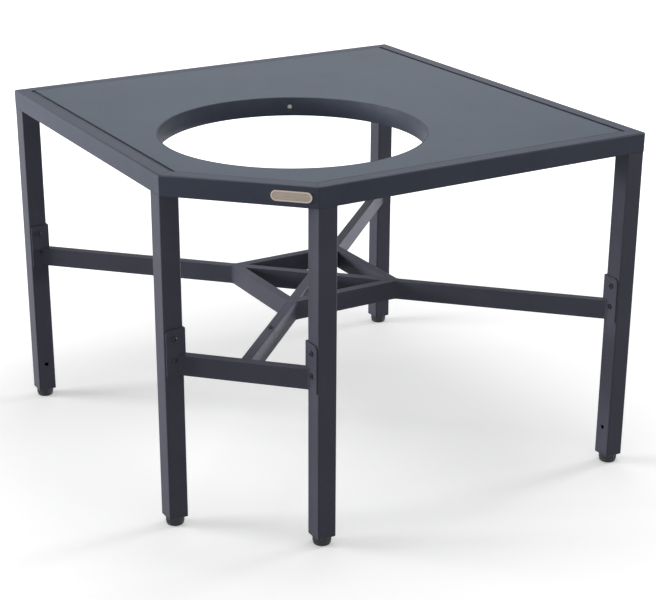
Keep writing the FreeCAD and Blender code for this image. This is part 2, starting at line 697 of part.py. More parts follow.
# Angle brackets that hug the inner corner of each leg
for corner in corners:
    name, x, y, turn, sign_x, sign_y = corner
    bracket = document.addObject("PartDesign::Body", "Bracket_" + name)
    sketch = start_sketch(bracket, f"Bracket_{name}Outline", "XY_Plane")
    wing = "Sizes.bracket_wing"
    sheet_side = "Sizes.plate_thickness"
    draw_outline(
        sketch,
        [
            ("0", "0"),
            (wing, "0"),
            (wing, sheet_side),
            (sheet_side, sheet_side),
            (sheet_side, wing),
            ("0", wing),
        ],
    )
    angle_plate = pad(bracket, sketch, "Sizes.bracket_height")
    round_edges(
        bracket,
        angle_plate,
        lambda p: near(p.z, "Sizes.bracket_height") and (near(p.x, wing) or near(p.y, wing)),
        "Sizes.bracket_round",
    )
    middle = f"{half_leg} + Sizes.plate_thickness"
    heights = [(middle, "Sizes.first_bolt"), (middle, "Sizes.first_bolt + Sizes.bolt_pitch")]
    depth = "2 * Sizes.plate_thickness"
    drill_wall(bracket, f"Bracket_{name}X", "XZ_Plane", heights, "Sizes.bolt_hole", depth, False)
    drill_wall(bracket, f"Bracket_{name}Y", "YZ_Plane", heights, "Sizes.bolt_hole", depth, True)
    place(bracket, *inner_corner(corner, "Sizes.plate_thickness"), "Sizes.brace_level", turn)
    finish(bracket, "corner_bracket_" + name)

# Bolts through the brackets, and the nuts welded inside the legs
bolt_spots = []
weld_nut_spots = []
for corner in corners:
    name, x, y, turn, sign_x, sign_y = corner
    across, along = inner_corner(corner)
    corner_point = FreeCAD.Vector(number(across), number(along), 0)
    for face in (turn, turn + 90):
        along_face = FreeCAD.Vector(math.cos(math.radians(face)), math.sin(math.radians(face)), 0)
        into_leg = FreeCAD.Vector(-along_face.y, along_face.x, 0)
        if face != turn:
            into_leg = -into_leg
        for level in (lower_bolt, upper_bolt):
            spot = corner_point + along_face * number(half_leg)
            spot.z = number(f"{level} + {tube_level}")
            head_back = number("Sizes.plate_thickness + Sizes.head_height")
            bolt_spots.append(aimed(spot, into_leg, -head_back))
            weld_nut_spots.append(aimed(spot, into_leg, number("Sizes.leg_wall")))
group("bracket_bolts", fastener, bolt_spots)
group("bracket_weld_nuts", weld_nut, weld_nut_spots)

# Square cradle in the middle of the lower frame
bar_size = ("Sizes.bar_width", "Sizes.bar_height", "Sizes.bar_wall")
cradle_low = f"{cradle_near} - {half_side}"
cradle_high = f"{half_side} - {cradle_near}"
cradle_bars = [
    ("front_right", cradle_low, cradle_low, 0),
    ("back_right", cradle_high, cradle_low, 90),
    ("back_left", cradle_high, cradle_high, 180),
    ("front_left", cradle_low, cradle_high, 270),
]
for name, x, y, turn in cradle_bars:
    outline = mitred_outline("Sizes.cradle_side", "0", "Sizes.bar_width", "1", "1")
    bar = hollow_bar("Cradle_" + name, outline, "Sizes.cradle_side", *bar_size)
    place(bar, x, y, "Sizes.brace_level", turn)
    finish(bar, "cradle_bar_" + name)


def bar_outline(reach, start, end):
    """Gives the plan of a bar whose ends are flat, notched over a corner or pointed.

    The reach is measured between the two points that the ends' middles touch. A notched
    end runs on past its point by half the width, and the other two kinds stop there.
    """
    width = "Sizes.bar_width"
    first = half_bar if start == "notched" else "0"
    last = f"{first} + {reach}"
    first_side = {"flat": first, "notched": "0", "pointed": f"{first} + {half_bar}"}[start]
    last_side = {"flat": last, "notched": f"{last} + {half_bar}", "pointed": f"{last} - {half_bar}"}[end]
    points = [(first_side, "0"), (last_side, "0")]
    if end != "flat":
        points.append((last, half_bar))
    points += [(last_side, width), (first_side, width)]
    if start != "flat":
        points.append((first, half_bar))
    longest = last_side if end == "notched" else last
    return points, longest, first


def brace_bar(name, label, reach, start, end, distance, turn, hub_x="0", hub_y="0"):
    """Makes a bar of the lower frame along a line through a hub, a distance out from it."""
    outline, longest, first = bar_outline(reach, start, end)
    bar = hollow_bar(name, outline, longest, *bar_size)
    angle = f"{turn}"
    back = f"({distance} - ({first}))"
    across = f"{hub_x} + {back} * cos({angle}) + {half_bar} * sin({angle})"
    along = f"{hub_y} + {back} * sin({angle}) - {half_bar} * cos({angle})"
    place(bar, across, along, "Sizes.brace_level", turn)
    finish(bar, label)


# Stretchers from the cradle's outer corners to three brackets
cradle_reach = "Sizes.cradle_side / sqrt(2)"
bracket_reach = f"({half_side} - Sizes.leg_width - Sizes.plate_thickness) * sqrt(2)"
stretcher = f"{bracket_reach} - {cradle_reach}"
for name, turn in (("left", 135), ("right", 315), ("back", 45)):
    brace_bar(
        "Stretcher_" + name, "stretcher_" + name, stretcher, "notched", "notched", cradle_reach, turn
    )

# Bars that cross inside the cradle
inner_reach = "(Sizes.cradle_side - 2 * Sizes.bar_width) / sqrt(2)"
brace_bar(
    "CradleDiagonal",
    "cradle_diagonal",
    f"2 * {inner_reach}",
    "pointed",
    "pointed",
    f"(-{inner_reach})",
    315,
)
for name, turn in (("back", 45), ("front", 225)):
    brace_bar(
        "CradleStrut_" + name,
        "cradle_strut_" + name,
        f"{inner_reach} - {half_bar}",
        "flat",
        "pointed",
        half_bar,
        turn,
    )

# Front crossbar between the two front brackets
crossbar_line = f"({cut_leg} + Sizes.leg_width) / 2 - {half_side}"
crossbar_reach = f"({cut_leg} - Sizes.leg_width - 2 * Sizes.plate_thickness) * sqrt(2)"
brace_bar(
    "FrontCrossbar",
    "front_crossbar",
    crossbar_reach,
    "notched",
    "notched",
    f"(-({crossbar_reach}) / 2)",
    315,
    crossbar_line,
    crossbar_line,
)

# Stem from the crossbar to the cradle, in two lengths joined by a sleeve and a bolt
stem_reach = f"(-({crossbar_line})) * sqrt(2) - {cradle_reach}"
brace_bar(
    "StemFront",
    "stem_front",
    f"Sizes.splice_at - {half_bar}",
    "flat",
    "flat",
    half_bar,
    45,
    crossbar_line,
    crossbar_line,
)
brace_bar(
    "StemBack",
    "stem_back",
    f"{stem_reach} - Sizes.splice_at - Sizes.splice_gap",
    "flat",
    "notched",
    "(Sizes.splice_at + Sizes.splice_gap)",
    45,
    crossbar_line,
    crossbar_line,
)
stem_back = nodes[-1]
sleeve_width = "(Sizes.bar_width - 2 * Sizes.bar_wall - 2 * Sizes.splice_clearance)"
sleeve_height = "(Sizes.bar_height - 2 * Sizes.bar_wall - 2 * Sizes.splice_clearance)"
sleeve = document.addObject("PartDesign::Body", "StemSleeve")
sketch = start_sketch(sleeve, "StemSleeveOutline", "XY_Plane")
draw_outline(
    sketch,
    [
        ("0", "0"),
        ("Sizes.splice_length", "0"),
        ("Sizes.splice_length", sleeve_width),
        ("0", sleeve_width),
    ],
)
pad(sleeve, sketch, sleeve_height)
core = start_sketch(sleeve, "StemSleeveCore", "XY_Plane", "Sizes.bar_wall")
inner = f"{sleeve_width} - Sizes.bar_wall"
draw_outline(
    core,
    [
        ("0", "Sizes.bar_wall"),
        ("Sizes.splice_length", "Sizes.bar_wall"),
        ("Sizes.splice_length", inner),
        ("0", inner),
    ],
)
pocket(sleeve, core, f"{sleeve_height} - 2 * Sizes.bar_wall")
bolt_in_sleeve = "Sizes.splice_bolt_at - Sizes.splice_at + Sizes.splice_length / 2"
hole = start_sketch(sleeve, "StemSleeveHole", "XY_Plane", f"{sleeve_height} - 2 * Sizes.bar_wall")
draw_circle(hole, bolt_in_sleeve, f"{sleeve_width} / 2", "Sizes.bolt_hole")
pocket(sleeve, hole, "2 * Sizes.bar_wall")
sleeve_start = "(Sizes.splice_at - Sizes.splice_length / 2)"
place(
    sleeve,
    f"{crossbar_line} + {sleeve_start} / sqrt(2) + {sleeve_width} / 2 / sqrt(2)",
    f"{crossbar_line} + {sleeve_start} / sqrt(2) - {sleeve_width} / 2 / sqrt(2)",
    "Sizes.brace_level + Sizes.bar_wall + Sizes.splice_clearance",
    45,
)
finish(sleeve, "stem_sleeve")
hole = start_sketch(stem_back, "StemBackHole", "XY_Plane", "Sizes.bar_height - 2 * Sizes.bar_wall")
bolt_in_stem = "Sizes.splice_bolt_at - Sizes.splice_at - Sizes.splice_gap"
draw_circle(hole, bolt_in_stem, half_bar, "Sizes.bolt_hole")
pocket(stem_back, hole, "2 * Sizes.bar_wall")

# Bolt of the splice, driven down through the stem and the sleeve
run = number("Sizes.splice_bolt_at / sqrt(2)")
bolt_height = number("Sizes.brace_level + Sizes.bar_height + Sizes.head_height")
bolt_point = FreeCAD.Vector(
    number(crossbar_line) + run, number(crossbar_line) + run, bolt_height
)
group("stem_bolt", fastener, [aimed(bolt_point, FreeCAD.Vector(0, 0, -1))])

# Nothing is written unless every object is sound
document.recompute()
for item in document.Objects:
    if "Invalid" in item.State or "Error" in item.State:
        raise RuntimeError(f"{item.Name} failed: {item.State}")
for node in nodes:
    if node.Shape.isNull() or not node.Shape.isValid() or not node.Shape.Solids:
        raise RuntimeError(f"{node.Label} has no sound solid")
os.makedirs("parts", exist_ok=True)
for node in nodes:
    node.Shape.exportStep(f"parts/{node.Label}.step")
    print(node.Label, len(node.Shape.Solids), round(node.Shape.Volume))
print("nodes", len(nodes))
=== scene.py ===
# Kamado grill table: the looks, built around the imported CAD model
import math

import bmesh
import bpy
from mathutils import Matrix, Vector, noise


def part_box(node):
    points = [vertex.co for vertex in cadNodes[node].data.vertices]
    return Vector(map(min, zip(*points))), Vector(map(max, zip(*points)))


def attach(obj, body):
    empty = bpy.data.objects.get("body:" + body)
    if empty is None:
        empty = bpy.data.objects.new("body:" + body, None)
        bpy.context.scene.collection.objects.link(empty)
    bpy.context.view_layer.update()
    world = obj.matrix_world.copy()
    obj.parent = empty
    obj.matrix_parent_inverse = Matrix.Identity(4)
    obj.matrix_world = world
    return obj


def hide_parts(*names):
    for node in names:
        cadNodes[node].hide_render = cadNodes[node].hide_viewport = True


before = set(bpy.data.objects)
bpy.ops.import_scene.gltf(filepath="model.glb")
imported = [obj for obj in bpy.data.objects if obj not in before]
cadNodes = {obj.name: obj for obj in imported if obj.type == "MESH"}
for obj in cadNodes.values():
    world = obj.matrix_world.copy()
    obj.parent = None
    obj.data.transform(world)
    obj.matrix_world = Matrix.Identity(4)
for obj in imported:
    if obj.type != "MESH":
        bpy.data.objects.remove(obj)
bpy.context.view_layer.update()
mm = 0.001
upright = Vector((0, 0, 1))
legNames = ["left", "front_left", "front_right", "right", "back"]
slant = math.sqrt(0.5)
towards = {  # from the middle of the table to its corners, in plan
    "left": Vector((-slant, slant, 0)),
    "right": Vector((slant, -slant, 0)),
    "back": Vector((slant, slant, 0)),
    "front": Vector((-slant, -slant, 0)),
}
print("frame loaded:", len(cadNodes), "CAD nodes")


def linear(hexColour):  # sRGB hex to linear colour with full alpha
    parts = [int(hexColour[i : i + 2], 16) / 255 for i in (1, 3, 5)]
    return [p / 12.92 if p <= 0.04045 else ((p + 0.055) / 1.055) ** 2.4 for p in parts] + [1.0]


def addNode(tree, kind, values=None, links=None, **settings):  # a node with its settings, values and links
    node = tree.nodes.new(kind)
    for name, setting in settings.items():
        setattr(node, name, setting)
    for socket, value in (values or {}).items():
        node.inputs[socket].default_value = value
    for socket, source in (links or {}).items():
        tree.links.new(source, node.inputs[socket])
    return node


# Shared by all finishes: how fine the noises are, and the part of their range that the look is spread over
patterns = {
    "patches": {"Detail": 3.0, "Roughness": 0.55},
    "patchSpread": {"From Min": 0.32, "From Max": 0.68},
    "grain": {"Detail": 2.0, "Roughness": 0.6},
    "grainSpread": {"From Min": 0.3, "From Max": 0.7},
    "peel": {"Detail": 1.0},
}


def makeFinish(name, look):
    material = bpy.data.materials.new(name)
    material.use_nodes = True
    tree = material.node_tree
    shader = tree.nodes["Principled BSDF"]
    for socket, value in look["shader"].items():  # even values go straight on the shader
        shader.inputs[socket].default_value = value
    place = addNode(tree, "ShaderNodeTexCoord").outputs["Object"]
    stretched = addNode(  # brushed metal has its grain drawn out along one direction
        tree,
        "ShaderNodeMapping",
        {"Rotation": look.get("turn", (0, 0, 0)), "Scale": look.get("stretch", (1, 1, 1))},
        {"Vector": place},
        vector_type="TEXTURE",
    ).outputs["Vector"]
    scales = {kind: {"Scale": 1 / (look[kind] * mm)} for kind in ("patch", "grain", "peel")}
    patches = addNode(tree, "ShaderNodeTexNoise", patterns["patches"] | scales["patch"], {"Vector": place})
    grain = addNode(tree, "ShaderNodeTexNoise", patterns["grain"] | scales["grain"], {"Vector": stretched})
    peel = addNode(tree, "ShaderNodeTexNoise", patterns["peel"] | scales["peel"], {"Vector": place})

    # Colour: two tones in patches, with lighter flecks of the grain (6, 7 and 2 are a Mix node's colours)
    blend = addNode(tree, "ShaderNodeMapRange", patterns["patchSpread"], {"Value": patches.outputs["Fac"]})
    tone = addNode(
        tree,
        "ShaderNodeMix",
        {6: linear(look["colour"]), 7: linear(look["shade"])},
        {0: blend.outputs["Result"]},
        data_type="RGBA",
    )
    speck = addNode(
        tree,
        "ShaderNodeMapRange",
        patterns["grainSpread"] | {"To Max": look["speck"]},
        {"Value": grain.outputs["Fac"]},
    )
    flecked = addNode(
        tree,
        "ShaderNodeMix",
        {7: linear(look["fleck"])},
        {0: speck.outputs["Result"], 6: tone.outputs[2]},
        data_type="RGBA",
    )
    tree.links.new(flecked.outputs[2], shader.inputs["Base Color"])

    # Gloss: the grain is duller and shinier in turn
    smooth, dull = look["roughness"]
    sheen = addNode(
        tree,
        "ShaderNodeMapRange",
        patterns["grainSpread"] | {"To Min": smooth, "To Max": dull},
        {"Value": grain.outputs["Fac"]},
    )
    tree.links.new(sheen.outputs["Result"], shader.inputs["Roughness"])

    # Surface: the grain on the slow waves of the orange peel
    wavy = addNode(
        tree,
        "ShaderNodeBump",
        {"Strength": 1.0, "Distance": look["peelHeight"] * mm},
        {"Height": peel.outputs["Fac"]},
    )
    rough = addNode(
        tree,
        "ShaderNodeBump",
        {"Strength": 1.0, "Distance": look["grainHeight"] * mm},
        {"Height": grain.outputs["Fac"], "Normal": wavy.outputs["Normal"]},
    )
    tree.links.new(rough.outputs["Normal"], shader.inputs["Normal"])
    return material


# Anthracite polyester powder coat on steel tube, baked: satin, with a fine orange peel
# Its real texture is about 0.4 mm, drawn at 1.6 mm so that it shows
tubeCoat = {
    "colour": "#50515d",
    "shade": "#4a4b57",
    "fleck": "#5c5e6a",
    "speck": 0.22,  # how strongly the flecks show
    "patch": 90,  # sizes of patches, grain and peel, and heights of grain and peel, in mm
    "grain": 1.6,
    "grainHeight": 0.05,
    "peel": 7,
    "peelHeight": 0.04,
    "roughness": (0.46, 0.56),
    "shader": {"Specular IOR Level": 0.1},
}
# The same powder on the top frame and the collar, a little cooler, as the photo shows it beside the panel
# On the collar its slightly darker tone is painted shade, for the shade inside the collar under the top
railCoat = dict(tubeCoat, colour="#4b505d", shade="#454a58", fleck="#575c6b")
# The same powder on the flat panel, where the even sheet shows a coarser grain, drawn at 2 mm
panelCoat = dict(
    tubeCoat,
    colour="#495563",
    shade="#44505e",
    patch=160,
    grain=2.0,
    grainHeight=0.07,
    speck=0.28,
    shader={"Specular IOR Level": 0.14},
)
# Black oxide on steel bolts: a dull, slightly oily black
oxideSteel = {
    "colour": "#303137",
    "shade": "#2a2b30",
    "fleck": "#404148",
    "speck": 0.2,
    "patch": 8,
    "grain": 0.6,
    "grainHeight": 0.01,
    "peel": 4,
    "peelHeight": 0.005,
    "roughness": (0.46, 0.6),
    "shader": {"Metallic": 0.7},
}
# Stainless steel screws, turned, dull and a little warm after the oven
stainless = dict(
    oxideSteel,
    colour="#8f8b84",
    shade="#85827c",
    fleck="#a19d96",
    roughness=(0.34, 0.46),
    shader={"Metallic": 1.0},
)
# Zinc plated steel, for the studs and the parts inside the tubes: bluish and a little cloudy
zincSteel = dict(
    stainless,
    colour="#a9adb3",
    shade="#9ea3aa",
    fleck="#bcc0c5",
    patch=12,
    roughness=(0.28, 0.42),
)
# Champagne anodised aluminium: soft metal sheen, brushed along its length
# Its real lines are about 0.3 mm apart, drawn at 1.4 mm so that they show
anodised = {
    "colour": "#bdb1a6",
    "shade": "#b3a79b",
    "fleck": "#cbc0b5",
    "speck": 0.5,
    "patch": 25,
    "grain": 1.4,
    "grainHeight": 0.008,
    "peel": 5,
    "peelHeight": 0.004,
    "roughness": (0.34, 0.46),
    "turn": (0, 0, math.radians(-45)),  # to the badge's length
    "stretch": (25, 1, 1),
    "shader": {"Metallic": 0.55},
}
# The face inside the badge's rim, slightly darker
anodisedFace = dict(anodised, colour="#988c81", shade="#8f8377", fleck="#b1a69a")
# Glass filled nylon, moulded: near black with a fine spark-eroded grain of 0.3 mm, drawn at 0.8 mm
nylon = {
    "colour": "#1b1d22",
    "shade": "#17191d",
    "fleck": "#292c33",
    "speck": 0.25,
    "patch": 20,
    "grain": 0.8,
    "grainHeight": 0.03,
    "peel": 6,
    "peelHeight": 0.01,
    "roughness": (0.45, 0.6),
    "shader": {"Specular IOR Level": 0.5},
}
finishes = {  # by the record's material slots
    "powder_coat": makeFinish("texturedPowderCoat", tubeCoat),
    "powder_coat_top": makeFinish("texturedPowderCoatPanel", panelCoat),
    "dark_steel": makeFinish("blackOxideSteel", oxideSteel),
    "bright_steel": makeFinish("stainlessSteel", stainless),
    "plain_steel": makeFinish("zincPlatedSteel", zincSteel),
    "badge_metal": makeFinish("anodisedAluminium", anodised),
    "black_plastic": makeFinish("mouldedNylon", nylon),
}
specialFinishes = {  # for pieces that look different from the rest of their slot
    "badgeFace": makeFinish("anodisedAluminiumFace", anodisedFace),
    "rails": makeFinish("texturedPowderCoatRailsAndShadedCollar", railCoat),
    # Painted shade: the sleeve takes the dark oxide look so that the slit of the splice reads dark, as the
    # shade in that gap does
    "sleeve": makeFinish("darkSleevePaintedShade", oxideSteel),  # seen only as a dark line in the splice
}
print("finishes made:", len(finishes) + len(specialFinishes))

# Pressed, sawn and moulded edges catch a thin line of light
softEdges = {
    "width": {"powder_coat": 0.8, "powder_coat_top": 1.1, "badge_metal": 0.3, "black_plastic": 0.4},  # mm
    "segments": 2,
    "angle": 50,  # degrees: an edge that turns less stays as it is
    "joinWithin": 0.002,  # mm
}
for nodeName, node in cadNodes.items():
    slotName = node.material_slots[0].material.name.split(".")[0]
    finish = finishes[slotName]
    # the collar takes the rails' darker coat as painted shade
    if nodeName.startswith("frame_rail") or nodeName == "kamado_collar":
        finish = specialFinishes["rails"]
    # the sleeve's dark finish paints the shade in the splice's slit
    if nodeName == "stem_sleeve":
        finish = specialFinishes["sleeve"]
    node.material_slots[0].material = finish
    if slotName in softEdges["width"]:
        weld = node.modifiers.new("Weld", "WELD")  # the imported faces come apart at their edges
        weld.merge_threshold = softEdges["joinWithin"] * mm
        soft = node.modifiers.new("SoftEdges", "BEVEL")
        soft.width = softEdges["width"][slotName] * mm
        soft.segments = softEdges["segments"]
        soft.limit_method = "ANGLE"
        soft.angle_limit = math.radians(softEdges["angle"])
        soft.harden_normals = True
print("CAD nodes dressed")


def makePiece(name, mesh, finish, body, smooth=True):
    data = bpy.data.meshes.new(name)
    mesh.to_mesh(data)
    mesh.free()
    for face in data.polygons:
        face.use_smooth = smooth
    piece = bpy.data.objects.new(name, data)
    bpy.context.scene.collection.objects.link(piece)
    data.materials.append(finish)
    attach(piece, body)
    return piece


def joinRings(mesh, rings):  # a skin over rings of equal counts, closed at both ends
    for one, two in zip(rings, rings[1:]):
        for k in range(len(one)):
            j = (k + 1) % len(one)
            mesh.faces.new((one[k], one[j], two[j], two[k]))
    mesh.faces.new(rings[0][::-1])
    mesh.faces.new(rings[-1])


# Weld beads: MIG fillets left as welded under the coat, seams on flat faces ground nearly flush
beads = {
    "fillet": 2.4,  # half width of a fillet, mm
    "seam": 1.9,  # half width of a ground seam
    "seamHeight": 0.22,
    "ripple": 2.4,  # spacing of the ripples
    "rippleDepth": 0.12,  # as a share of the bead's size
    "rippleBow": 0.35,  # how far a ripple bows along the bead, as a share of the spacing
    "size": 0.94,  # between the ripples
    "unevenness": 0.08,
    "unevenScale": 180,  # per metre
    "endLength": 1.5,  # the bead rounds off over this length
    "endSize": 0.04,
    "setBack": 1.2,  # an upright fillet stops this far from the bar's top and bottom
    "step": 0.6,
    "leastSteps": 6,
    "sides": 10,
}


def addBead(mesh, start, end, side, out, halfWidth, halfHeight):
    run = end - start
    count = max(beads["leastSteps"], round(run.length / (beads["step"] * mm)))
    onward = run.normalized()
    rings = []
    for i in range(count + 1):
        gone = run.length * i / count
        nearEnd = min(gone, run.length - gone) / (beads["endLength"] * mm)
        taper = math.sqrt(min(1.0, max(beads["endSize"], nearEnd)))
        wave = beads["rippleDepth"] * abs(math.sin(math.pi * gone / (beads["ripple"] * mm)))
        wander = beads["unevenness"] * noise.noise((start + onward * gone) * beads["unevenScale"])
        size = taper * (beads["size"] + wave + wander)
        ring = []
        for k in range(beads["sides"]):
            angle = 2 * math.pi * k / beads["sides"]
            bow = beads["rippleBow"] * beads["ripple"] * mm * math.sin(angle) * taper
            point = start + onward * (gone + bow)
            point = point + side * (halfWidth * mm * size * math.cos(angle))
            ring.append(mesh.verts.new(point + out * (halfHeight * mm * size * math.sin(angle))))
        rings.append(ring)
    joinRings(mesh, rings)


barLow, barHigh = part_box("cradle_bar_front_right")
barWidth = barHigh.y - barLow.y


def barEnd(kind, point, heading):  # the two side points and the middle of a bar's end, in plan
    half = barWidth / 2
    across = Vector((-heading.y, heading.x, 0))
    reach = {"notched": half, "pointed": -half, "flat": 0.0}[kind]
    return point + heading * reach + across * half, point, point + heading * reach - across * half


def weldEnd(mesh, kind, point, heading, topFillet=False):
    first, middle, last = barEnd(kind, point, heading)
    setBack = upright * (beads["setBack"] * mm)
    for corner in (first, last):
        bottom = Vector((corner.x, corner.y, barLow.z)) + setBack
        top = Vector((corner.x, corner.y, barHigh.z)) - setBack
        across = (corner - middle).normalized()
        addBead(mesh, bottom, top, across, heading, beads["fillet"], beads["fillet"])
    stops = [first, last] if kind == "flat" else [first, middle, last]
    for start, end in zip(stops, stops[1:]):
        run = (end - start).normalized()
        across = Vector((-run.y, run.x, 0))
        for level in (barHigh.z, barLow.z):
            width, height = beads["seam"], beads["seamHeight"]
            if topFillet and level == barHigh.z:
                width, height = beads["fillet"], beads["fillet"]
            a, b = (Vector((p.x, p.y, level)) for p in (start, end))
            addBead(mesh, a, b, across, upright, width, height)


cradleLow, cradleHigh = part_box("cradle_bar_back_left")
cradleHalf = cradleHigh.y
cradleWelds = bmesh.new()
for way in ("left", "right", "back", "front"):
    corner = towards[way] * (cradleHalf / slant)
    inner = towards[way] * ((cradleHalf - barWidth) / slant)
    weldEnd(cradleWelds, "notched", corner, -towards[way])  # a stretcher or the stem over a corner
    weldEnd(cradleWelds, "pointed", inner, towards[way])  # the diagonal and struts in a corner
    across = Vector((-towards[way].y, towards[way].x, 0))
    for level in (cradleLow.z, cradleHigh.z):  # the mitre itself
        a, b = (Vector((p.x, p.y, level)) for p in (inner, corner))
        addBead(cradleWelds, a, b, across, upright, beads["seam"], beads["seamHeight"])
for way in ("back", "front"):  # the struts against the diagonal
    weldEnd(cradleWelds, "flat", towards[way] * (barWidth / 2), -towards[way])
makePiece("cradle_weld_beads", cradleWelds, finishes["powder_coat"], "table")

# The inner corner of each bracket's box, where a bar meets it: 0 is a low side and 1 a high side, in x and y
inside = {"left": (1, 0), "front_left": (1, 0), "front_right": (0, 1), "right": (0, 1), "back": (0, 0)}
barWay = {"left": "left", "front_left": "left", "front_right": "right", "right": "right", "back": "back"}
bracketWelds = bmesh.new()
bracketCorner = {}
for name in legNames:
    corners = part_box("corner_bracket_" + name)
    bracketCorner[name] = Vector((corners[inside[name][0]].x, corners[inside[name][1]].y, 0))
for name in ("left", "right", "back", "front_left", "front_right"):
    weldEnd(bracketWelds, "notched", bracketCorner[name], towards[barWay[name]], topFillet=True)
crossbar = (bracketCorner["front_left"] + bracketCorner["front_right"]) / 2
stemFoot = crossbar + towards["back"] * (barWidth / 2)
weldEnd(bracketWelds, "flat", stemFoot, towards["front"])
makePiece("bracket_weld_beads", bracketWelds, finishes["powder_coat"], "table")

# Short stitch welds hold the collar under the panel
stitch = {"count": 8, "length": 26, "turn": 14}  # mm, and degrees to the first one
collarLow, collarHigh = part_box("kamado_collar")
collarCentre = (collarLow + collarHigh) / 2
collarRadius = (collarHigh.x - collarLow.x) / 2
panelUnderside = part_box("top_panel")[0].z
stitches = bmesh.new()
for i in range(stitch["count"]):
    angle = math.radians(stitch["turn"] + 360 * i / stitch["count"])
    out = Vector((math.cos(angle), math.sin(angle), 0))
    along = Vector((-out.y, out.x, 0)) * (stitch["length"] / 2 * mm)
    middle = Vector((collarCentre.x, collarCentre.y, panelUnderside)) + out * collarRadius
    addBead(stitches, middle - along, middle + along, out, upright, beads["fillet"], beads["fillet"])
makePiece("collar_stitch_welds", stitches, finishes["powder_coat"], "table")
print("weld beads laid")

# Hand wheel of a foot: moulded with grip flutes, on a steel stud with an M10 x 1.5 thread
handWheel = {
    "height": 12.0,  # mm, as all lengths here
    "flutes": 20,
    "fluteDepth": 1.1,
    "fluteSteps": 8,
    "round": 1.3,  # radius of its upper and lower edges
    "roundSteps": 5,
    "dish": 1.2,  # how deep the top is dished round the stud
    "dishRadius": 11.5,
    "dishSlope": 1.0,
    "dishLip": 0.3,
    "boss": 7.0,
}
thread = {
    "radius": 5.0,
    "pitch": 1.5,
    "depth": 0.85,
    "sides": 24,
    "stepsPerTurn": 6,
    "lead": 1.2,  # length of the chamfer at the stud's tip
    "leadDepth": 0.8,
    "sunk": 1.0,  # the stud starts this far inside the wheel
}


def ringSpot(centre, radius, angle, level):
    return (
        centre.x + radius * math.cos(angle),
        centre.y + radius * math.sin(angle),
        centre.z + level * mm,
    )


def flutedRing(mesh, centre, radius, level, depth):
    ring = []
    count = handWheel["flutes"] * handWheel["fluteSteps"]
    for k in range(count):
        angle = 2 * math.pi * k / count
        groove = depth * (0.5 - 0.5 * math.cos(handWheel["flutes"] * angle)) ** 2
        ring.append(mesh.verts.new(ringSpot(centre, (radius - groove) * mm, angle, level)))
    return ring


def makeHandWheel(name):
    low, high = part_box("foot_screw_" + name)
    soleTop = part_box("foot_sole_" + name)[1].z
    centre = Vector(((low.x + high.x) / 2, (low.y + high.y) / 2, soleTop))
    radius = (high.x - low.x) / 2 / mm
    height, boss, r = handWheel["height"], handWheel["boss"], handWheel["round"]
    depth, steps = handWheel["fluteDepth"], handWheel["roundSteps"]
    profile = [(boss, (low.z - soleTop) / mm, 0), (boss, 0.0, 0), (radius - r, 0.0, 0)]
    for step in range(1, steps + 1):
        turn = math.radians(90 * step / steps)
        profile.append((radius - r + r * math.sin(turn), r - r * math.cos(turn), depth * step / steps))
    for step in range(steps + 1):
        turn = math.radians(90 * step / steps)
        level = height - r + r * math.sin(turn)
        profile.append((radius - r + r * math.cos(turn), level, depth * (steps - step) / steps))
    dishEdge, dishFloor, slope = handWheel["dishRadius"], height - handWheel["dish"], handWheel["dishSlope"]
    profile += [
        (dishEdge + slope, height, 0),
        (dishEdge, height - handWheel["dishLip"], 0),
        (dishEdge - slope, dishFloor, 0),
        (thread["radius"], dishFloor, 0),
    ]
    mesh = bmesh.new()
    joinRings(mesh, [flutedRing(mesh, centre, *ringAt) for ringAt in profile])
    body = "screw_" + name
    wheel = makePiece("hand_wheel_" + name, mesh, finishes["black_plastic"], body)
    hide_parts("foot_screw_" + name)

    stud = bmesh.new()
    bottom, top = dishFloor - thread["sunk"], (high.z - soleTop) / mm
    steps = round((top - bottom) / thread["pitch"] * thread["stepsPerTurn"])
    rings = []
    for i in range(steps + 1):
        level = bottom + (top - bottom) * i / steps
        lead = min(1.0, (top - level) / thread["lead"])
        ring = []
        for k in range(thread["sides"]):
            share = k / thread["sides"]
            cut = thread["depth"] * abs(2 * ((level / thread["pitch"] - share) % 1) - 1)
            size = (thread["radius"] - cut - (1 - lead) * thread["leadDepth"]) * mm
            ring.append(stud.verts.new(ringSpot(centre, size, 2 * math.pi * share, level)))
        rings.append(ring)
    joinRings(stud, rings)
    makePiece("foot_stud_" + name, stud, finishes["plain_steel"], body)


for name in legNames:
    makeHandWheel(name)
print("hand wheels and studs made:", len(legNames))

# Badge: the blank face inside its raised rim
badge = {
    "rim": 2.5,  # mm, as all lengths here
    "clear": 0.25,
    "recess": 0.6,
    "face": 0.2,  # thickness
    "chamfer": 0.25,
    "chamferFrom": 0.6,  # share of the thickness below the chamfer
    "corner": 2.0,
    "cornerSteps": 6,
}


def roundedOutline(width, height, radius):
    points = []
    for index, (x, y) in enumerate(((1, 1), (-1, 1), (-1, -1), (1, -1))):
        for step in range(badge["cornerSteps"] + 1):
            angle = math.radians(90 * index + 90 * step / badge["cornerSteps"])
            across = x * (width / 2 - radius) + radius * math.cos(angle)
            points.append((across, y * (height / 2 - radius) + radius * math.sin(angle)))
    return points


